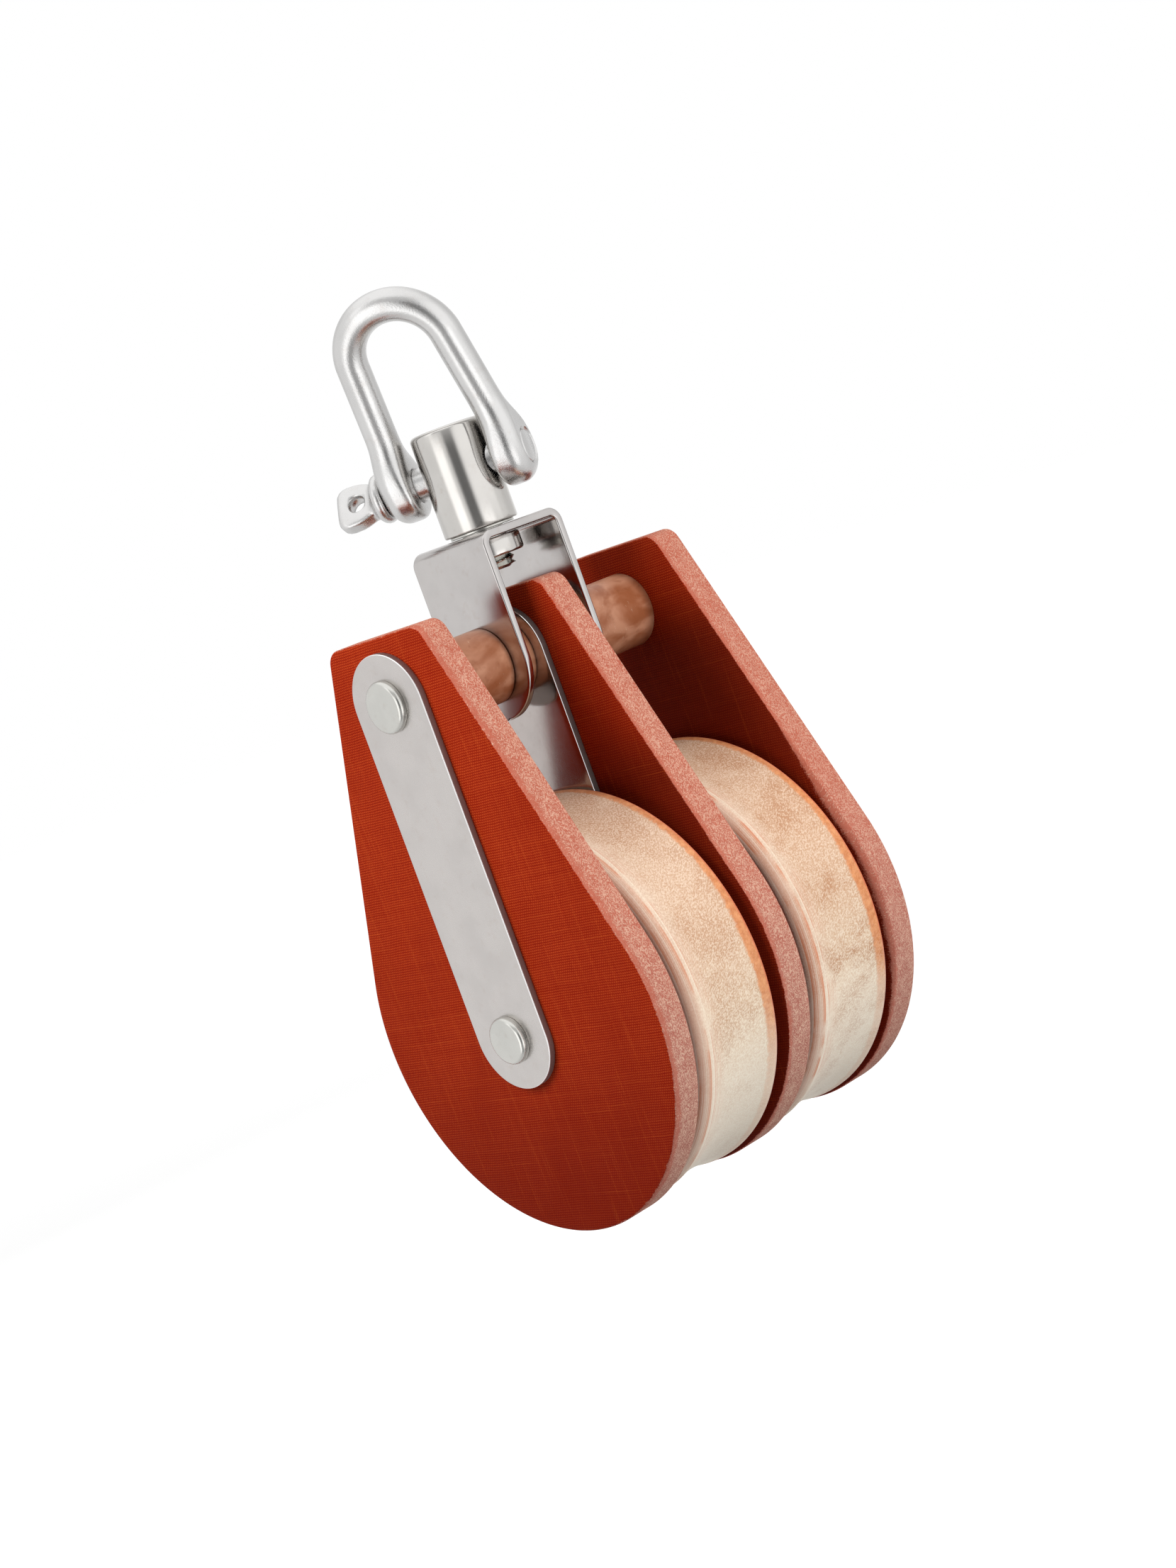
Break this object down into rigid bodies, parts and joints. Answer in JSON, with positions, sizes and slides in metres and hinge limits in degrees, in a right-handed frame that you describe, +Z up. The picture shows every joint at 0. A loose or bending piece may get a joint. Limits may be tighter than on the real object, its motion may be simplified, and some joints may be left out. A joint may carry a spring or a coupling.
{
  "type": "double swivel block",
  "caption": "Rope block with wide shallow sheaves between cloth-laminate cheeks and steel straps, on a swivelling yoke under a screw-pin shackle.",
  "frame": {"origin": "the point on the inside of the shackle's crown where a load bears, from which the block hangs", "axes": "+Z up along the block's swivel axis, +X along the sheave axle and head pin, +Y from the front edges of the cheeks to the back; the block hangs below the origin, 10 mm off it sideways because the bow leans"},
  "size_m": [0.0732, 0.0776, 0.1732],
  "materials": {
    "polished_steel": "polished stainless steel",
    "strap_steel": "satin stainless steel",
    "cheek_laminate": "machined fabric laminate, orange-red with paler cut edges",
    "sheave_laminate": "turned fabric laminate, cream with brown mottling",
    "spacer_plastic": "waxy tan-brown fibre tube",
    "bush_bronze": "turned bronze"
  },
  "bodies": {
    "shackle": {"shackle_bow": "polished_steel"},
    "shackle_pin": {"shackle_pin": "polished_steel"},
    "swivel_post": {"swivel_barrel": "polished_steel", "swivel_stud": "strap_steel", "swivel_nut": "polished_steel", "swivel_washer": "strap_steel"},
    "yoke": {"yoke": "strap_steel"},
    "block": {"head_pin": "polished_steel", "axle": "polished_steel", "left_cheek": "cheek_laminate", "centre_cheek": "cheek_laminate", "right_cheek": "cheek_laminate", "left_strap": "strap_steel", "right_strap": "strap_steel", "centre_left_strap": "strap_steel", "centre_right_strap": "strap_steel", "left_spacer": "spacer_plastic", "right_spacer": "spacer_plastic", "left_inner_spacer": "spacer_plastic", "right_inner_spacer": "spacer_plastic", "left_outer_washer": "spacer_plastic", "left_inner_washer": "spacer_plastic", "right_inner_washer": "spacer_plastic", "right_outer_washer": "spacer_plastic"},
    "left_sheave": {"left_sheave": "sheave_laminate", "left_bush": "bush_bronze"},
    "right_sheave": {"right_sheave": "sheave_laminate", "right_bush": "bush_bronze"}
  },
  "joints": [
    {"name": "pin_withdraw", "type": "slide", "parent": "shackle", "child": "shackle_pin", "axis": [-0.515, 0.8572, 0], "range_m": [0, 0.03]},
    {"name": "shackle_swing", "type": "hinge", "parent": "shackle", "child": "swivel_post", "pos_m": [0.00885, 0.0048, -0.02922], "axis": [0.515, -0.8572, 0], "range_deg": [-98, 136]},
    {"name": "swivel", "type": "hinge", "parent": "swivel_post", "child": "yoke", "pos_m": [0.00885, 0.0048, -0.04124], "axis": [0, 0, 1], "continuous": true},
    {"name": "block_swing", "type": "hinge", "parent": "yoke", "child": "block", "pos_m": [0.00885, 0.0048, -0.06484], "axis": [1, 0, 0], "range_deg": [-27, 27]},
    {"name": "left_sheave_spin", "type": "hinge", "parent": "block", "child": "left_sheave", "pos_m": [0.00885, 0.0048, -0.12884], "axis": [1, 0, 0], "continuous": true},
    {"name": "right_sheave_spin", "type": "hinge", "parent": "block", "child": "right_sheave", "pos_m": [0.00885, 0.0048, -0.12884], "axis": [1, 0, 0], "continuous": true}
  ]
}
